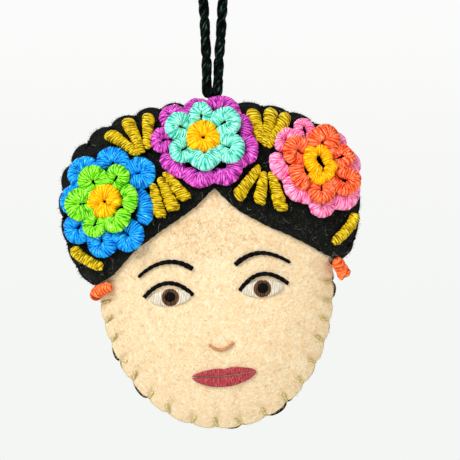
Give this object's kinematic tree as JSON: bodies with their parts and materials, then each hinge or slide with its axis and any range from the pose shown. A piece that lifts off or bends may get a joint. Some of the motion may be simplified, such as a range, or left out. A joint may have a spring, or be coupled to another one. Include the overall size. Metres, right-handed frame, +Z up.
{
  "type": "hanging ornament",
  "caption": "Stuffed felt head ornament with an embroidered flower crown, hung on a twisted cord loop.",
  "frame": {"origin": "the point under the top of the cord loop where a hook or twig bears", "axes": "+Z up along the hanging cord, -Y the way the face looks, +X to the right seen from the front"},
  "size_m": [0.082, 0.0277, 0.1666],
  "materials": {
    "cord": "matte",
    "black_felt": "matte",
    "face_felt": "matte",
    "stuffing": "matte",
    "black_thread": "matte",
    "chin_thread": "matte",
    "eye_thread": "matte",
    "nose_thread": "matte",
    "lip_thread": "matte",
    "green_thread": "matte",
    "turquoise_thread": "matte",
    "coral_thread": "matte",
    "blue_thread": "matte",
    "purple_thread": "matte",
    "pink_thread": "matte",
    "yellow_thread": "matte",
    "olive_thread": "matte",
    "ear_thread": "matte"
  },
  "bodies": {
    "loop": {"hanging_loop": "cord"},
    "whipping": {"loop_whipping": "cord"},
    "knot": {"loop_knot": "cord"},
    "head": {"back_felt": "black_felt", "face_felt": "face_felt", "hair_felt": "black_felt", "stuffing": "stuffing", "loop_tails": "cord", "crown_stitches_left": "black_thread", "crown_stitches_right": "black_thread", "chin_stitches": "chin_thread", "left_flower_outer_petals": "blue_thread", "middle_flower_outer_petals": "purple_thread", "right_flower_outer_petals": "pink_thread", "left_flower_inner_petal_1": "green_thread", "left_flower_inner_petal_2": "green_thread", "left_flower_inner_petal_3": "green_thread", "left_flower_inner_petal_4": "green_thread", "left_flower_inner_petal_5": "green_thread", "left_flower_inner_petal_6": "green_thread", "middle_flower_inner_petal_1": "turquoise_thread", "middle_flower_inner_petal_2": "turquoise_thread", "middle_flower_inner_petal_3": "turquoise_thread", "middle_flower_inner_petal_4": "turquoise_thread", "middle_flower_inner_petal_5": "turquoise_thread", "middle_flower_inner_petal_6": "turquoise_thread", "right_flower_inner_petal_1": "coral_thread", "right_flower_inner_petal_2": "coral_thread", "right_flower_inner_petal_3": "coral_thread", "right_flower_inner_petal_4": "coral_thread", "right_flower_inner_petal_5": "coral_thread", "right_flower_inner_petal_6": "coral_thread", "left_flower_centre": "yellow_thread", "middle_flower_centre": "yellow_thread", "right_flower_centre": "yellow_thread", "leaf_upper_left_1": "olive_thread", "leaf_upper_left_2": "olive_thread", "leaf_upper_left_3": "olive_thread", "leaf_upper_right_1": "olive_thread", "leaf_upper_right_2": "olive_thread", "leaf_upper_right_3": "olive_thread", "leaf_lower_left_1": "olive_thread", "leaf_lower_left_2": "olive_thread", "leaf_lower_left_3": "olive_thread", "leaf_lower_right_1": "olive_thread", "leaf_lower_right_2": "olive_thread", "leaf_lower_right_3": "olive_thread", "leaf_side_left": "olive_thread", "leaf_side_right": "olive_thread", "ear_knot_left": "ear_thread", "ear_knot_right": "ear_thread", "brow_left": "black_thread", "brow_right": "black_thread", "eyelid_left": "black_thread", "eyelid_right": "black_thread", "eye_left": "eye_thread", "eye_right": "eye_thread", "nose_stitch": "nose_thread", "upper_lip": "lip_thread", "lower_lip": "lip_thread"}
  },
  "joints": [
    {"name": "cord_turn", "type": "hinge", "parent": "loop", "child": "whipping", "pos_m": [0, 0, -0.075], "axis": [0, 0, 1], "range_deg": [-90, 90]},
    {"name": "side_sway", "type": "hinge", "parent": "whipping", "child": "knot", "pos_m": [0, 0, -0.075], "axis": [0, 1, 0], "range_deg": [-45, 45]},
    {"name": "fore_aft_swing", "type": "hinge", "parent": "knot", "child": "head", "pos_m": [0, 0, -0.075], "axis": [1, 0, 0], "range_deg": [-25, 60]}
  ]
}
